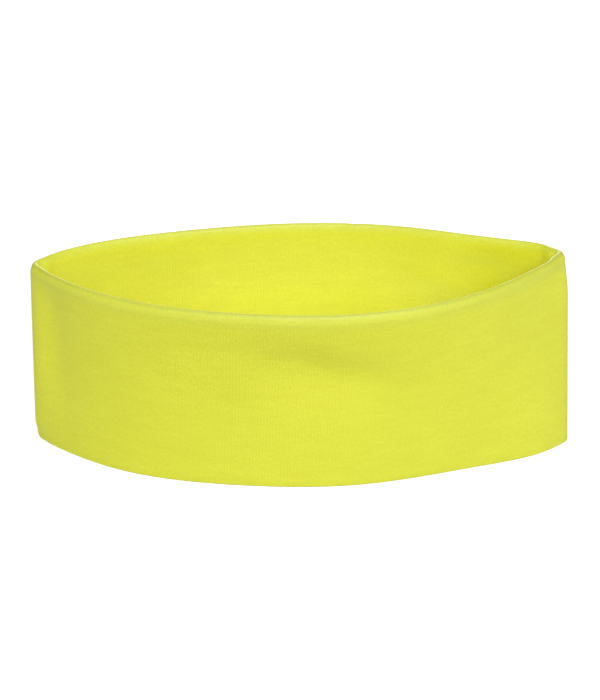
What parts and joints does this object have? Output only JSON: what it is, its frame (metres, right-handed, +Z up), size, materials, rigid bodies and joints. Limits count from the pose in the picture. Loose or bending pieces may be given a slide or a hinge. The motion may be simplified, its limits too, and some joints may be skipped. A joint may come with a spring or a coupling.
{
  "type": "sweat headband",
  "caption": "Double-layer jersey headband for sports, standing on its sewn edge and opened for a head.",
  "frame": {"origin": "on the surface the band stands on, under the middle of its outline", "axes": "+X runs from the left fold (closing seam) to the right fold, +Y from the front to the back, +Z up to the folded edge"},
  "size_m": [0.2168, 0.0981, 0.08],
  "materials": {
    "jersey": "fluorescent yellow single jersey, matt, fine vertical wales",
    "sewing_thread": "soft textured polyester thread in the jersey's colour",
    "label_satin": "blank white satin, slightly shiny"
  },
  "bodies": {
    "band": {"jersey_strip": "jersey", "bottom_seam_deep_needle_thread": "sewing_thread", "bottom_seam_edge_needle_thread": "sewing_thread", "bottom_seam_upper_looper_thread": "sewing_thread", "bottom_seam_lower_looper_thread": "sewing_thread", "closing_seam_deep_needle_thread": "sewing_thread", "closing_seam_edge_needle_thread": "sewing_thread", "closing_seam_upper_looper_thread": "sewing_thread", "closing_seam_lower_looper_thread": "sewing_thread", "turning_gap_needle_thread": "sewing_thread", "turning_gap_bobbin_thread": "sewing_thread"},
    "label": {"care_label": "label_satin"}
  },
  "joints": [
    {"name": "label_swing", "type": "hinge", "parent": "band", "child": "label", "pos_m": [-0.10317, 0.00507, 0.039], "axis": [0, 0, 1], "range_deg": [-18, 52]}
  ]
}
